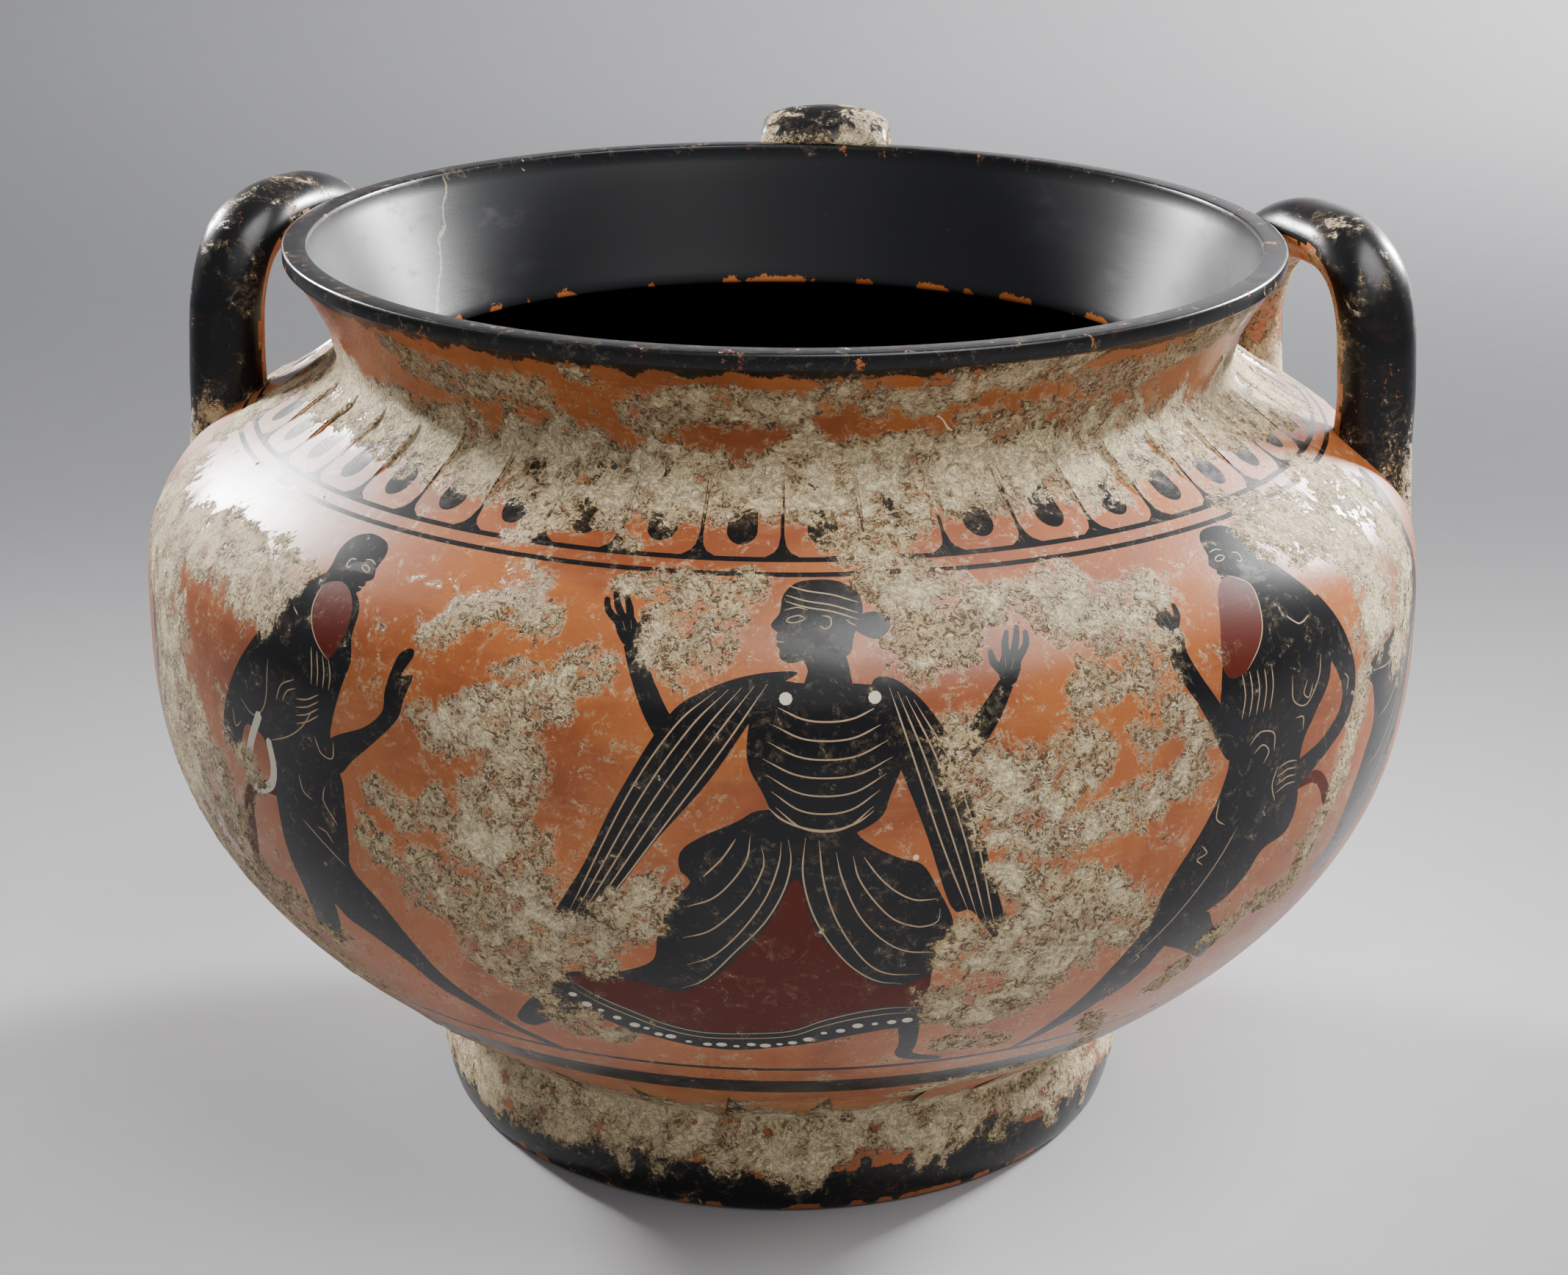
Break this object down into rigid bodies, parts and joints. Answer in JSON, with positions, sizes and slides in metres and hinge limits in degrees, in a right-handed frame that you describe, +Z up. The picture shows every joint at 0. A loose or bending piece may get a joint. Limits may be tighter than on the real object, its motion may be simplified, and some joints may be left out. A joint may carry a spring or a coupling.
{
  "type": "greek krater",
  "caption": "Wide-mouthed clay mixing bowl with a bellied body, ring foot, flaring neck, upright loop handles at the sides and a strap handle behind.",
  "frame": {"origin": "centre of the foot ring on the standing surface, under the vessel's axis", "axes": "+Z up along the vessel's axis, -Y towards the painted front, +X to the viewer's right"},
  "size_m": [0.28, 0.28, 0.2052],
  "materials": {
    "fired_clay": "burnished orange clay with black slip and a cream lime crust"
  },
  "bodies": {
    "root": {"krater": "fired_clay"}
  },
  "joints": []
}
